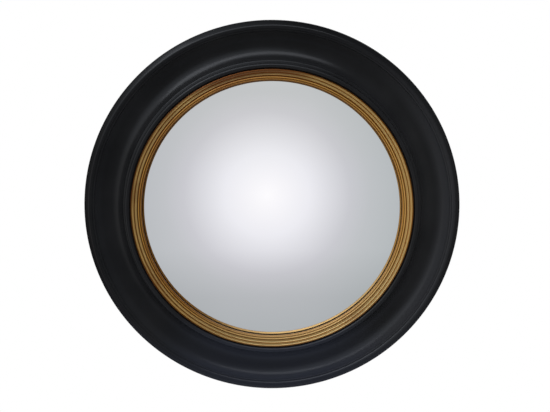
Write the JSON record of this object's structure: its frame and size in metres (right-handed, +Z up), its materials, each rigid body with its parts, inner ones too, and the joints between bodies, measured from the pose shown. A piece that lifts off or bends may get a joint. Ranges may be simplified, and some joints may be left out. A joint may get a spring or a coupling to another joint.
{
  "type": "convex wall mirror",
  "caption": "Round convex mirror in an ebonised cove-moulded wooden frame with a reeded gilt slip, turn buttons on the back and a keyhole plate to hang it by.",
  "frame": {"origin": "the closed end of the hanger plate's keyhole, on the plane of the wall, where the wall screw carries the mirror", "axes": "+Z up; +Y into the wall, so the glass faces -Y; +X to the right as seen by someone looking at the mirror"},
  "size_m": [0.42, 0.0489, 0.42],
  "materials": {
    "ebonised_wood": "ebonised and polished, semi-gloss black",
    "blackened_ply": "plywood stained black, matt",
    "gilt_gesso": "gilt over red-brown bole, satin, toned in the grooves",
    "silvered_glass": "silvered on the back, polished",
    "felt": "black felt",
    "softwood": "bare pine",
    "backing_board": "thin plywood, unpolished",
    "brass_buttons": "stamped brass, satin",
    "brass_screws": "turned brass",
    "zinc_steel": "zinc plated",
    "rubber": "matt black rubber"
  },
  "bodies": {
    "frame": {"moulding_ring": "ebonised_wood", "back_ring": "blackened_ply", "ring_screws": "zinc_steel", "gilt_slip": "gilt_gesso", "slip_pins": "zinc_steel", "seat_felt": "felt", "mirror_glass": "silvered_glass", "glass_blocks": "softwood", "backboard": "backing_board", "button_screws": "brass_screws", "hanger_plate": "zinc_steel", "hanger_screws": "zinc_steel", "bumper_left": "rubber", "bumper_right": "rubber"},
    "button_1": {"turn_button_1": "brass_buttons"},
    "button_2": {"turn_button_2": "brass_buttons"},
    "button_3": {"turn_button_3": "brass_buttons"},
    "button_4": {"turn_button_4": "brass_buttons"},
    "button_5": {"turn_button_5": "brass_buttons"},
    "button_6": {"turn_button_6": "brass_buttons"}
  },
  "joints": [
    {"name": "button_1_turn", "type": "hinge", "parent": "frame", "child": "button_1", "pos_m": [0.177, -0.004, -0.1865], "axis": [0, 1, 0], "range_deg": [-90, 90]},
    {"name": "button_2_turn", "type": "hinge", "parent": "frame", "child": "button_2", "pos_m": [0.0885, -0.004, -0.03321], "axis": [0, 1, 0], "range_deg": [-90, 90]},
    {"name": "button_3_turn", "type": "hinge", "parent": "frame", "child": "button_3", "pos_m": [-0.0885, -0.004, -0.03321], "axis": [0, 1, 0], "range_deg": [-90, 90]},
    {"name": "button_4_turn", "type": "hinge", "parent": "frame", "child": "button_4", "pos_m": [-0.177, -0.004, -0.1865], "axis": [0, 1, 0], "range_deg": [-90, 90]},
    {"name": "button_5_turn", "type": "hinge", "parent": "frame", "child": "button_5", "pos_m": [-0.0885, -0.004, -0.33979], "axis": [0, 1, 0], "range_deg": [-90, 90]},
    {"name": "button_6_turn", "type": "hinge", "parent": "frame", "child": "button_6", "pos_m": [0.0885, -0.004, -0.33979], "axis": [0, 1, 0], "range_deg": [-90, 90]}
  ]
}
